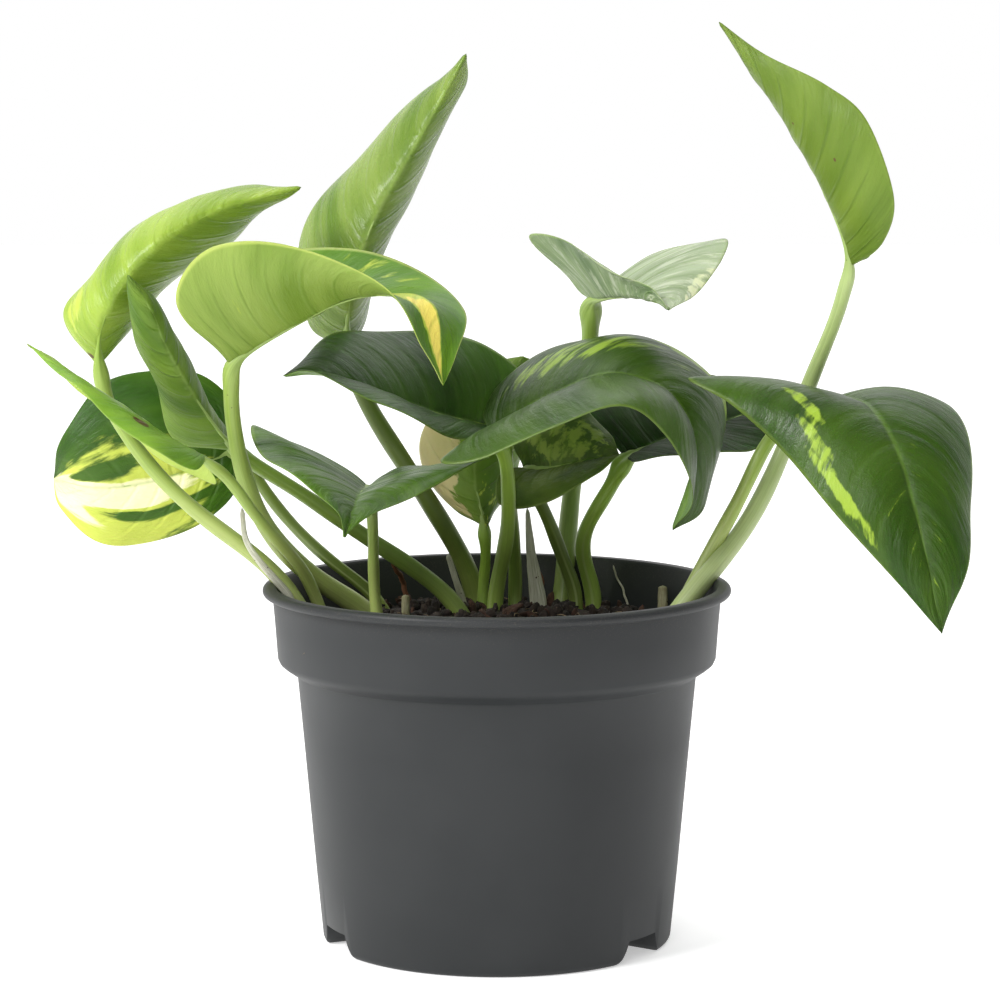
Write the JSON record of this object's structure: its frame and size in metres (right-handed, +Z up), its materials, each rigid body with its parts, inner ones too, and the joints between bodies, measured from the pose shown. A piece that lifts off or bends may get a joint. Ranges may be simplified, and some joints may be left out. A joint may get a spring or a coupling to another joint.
{
  "type": "potted pothos plant",
  "caption": "Pothos in a round tapered nursery pot: broad pointed leaves, some variegated, on arching stalks rising from dark potting soil.",
  "frame": {"origin": "on the pot's axis, at the underside of its floor, on the ground it stands on", "axes": "+Z up along the pot's axis; the plant's front faces -Y and +X is to its right"},
  "size_m": [0.2393, 0.12, 0.2352],
  "materials": {
    "leaf_mature": "glossy waxy dark green leaf with pale streaks",
    "leaf_young": "semi-gloss light green young leaf with fine veins",
    "leaf_variegated": "satin leaf, cream and yellow-green marbled with dark green",
    "leaf_silver": "satin leaf, silvery sheen over green with pale streaks",
    "stalk_green": "smooth light green stalk, browner at the foot",
    "stalk_dark": "smooth dark green stalk with a pale ridge",
    "dry_sheath": "dry papery sheath, pale straw",
    "root": "dry reddish brown root",
    "soil": "dark crumbly peat potting soil",
    "pot": "satin dark grey injection moulded polypropylene"
  },
  "bodies": {
    "root": {"leaf_far_left": "leaf_variegated", "stalk_far_left": "stalk_dark", "leaf_upper_left": "leaf_young", "stalk_upper_left": "stalk_green", "leaf_front_left": "leaf_young", "stalk_front_left": "stalk_green", "leaf_folded_left": "leaf_young", "stalk_folded_left": "stalk_green", "leaf_narrow_left": "leaf_young", "stalk_narrow_left": "stalk_green", "leaf_low_front": "leaf_mature", "stalk_low_front": "stalk_green", "leaf_centre_left": "leaf_mature", "stalk_centre_left": "stalk_dark", "leaf_centre_arching": "leaf_mature", "stalk_centre_arching": "stalk_green", "leaf_tall_centre": "leaf_young", "stalk_tall_centre": "stalk_dark", "leaf_cream_centre": "leaf_variegated", "stalk_cream_centre": "stalk_green", "leaf_under_centre": "leaf_mature", "stalk_under_centre": "stalk_dark", "leaf_top_silver": "leaf_silver", "stalk_top_silver": "stalk_dark", "leaf_dark_behind": "leaf_mature", "stalk_dark_behind": "stalk_green", "leaf_right_large": "leaf_mature", "stalk_right_large": "stalk_green", "leaf_right_tall": "leaf_young", "stalk_right_tall": "stalk_green", "sheath_left": "dry_sheath", "sheath_centre": "dry_sheath", "sheath_spike": "dry_sheath", "stub_right": "dry_sheath", "stub_left": "dry_sheath", "root_left": "root", "root_right": "root", "root_pale": "root", "soil": "soil", "pot": "pot"}
  },
  "joints": []
}
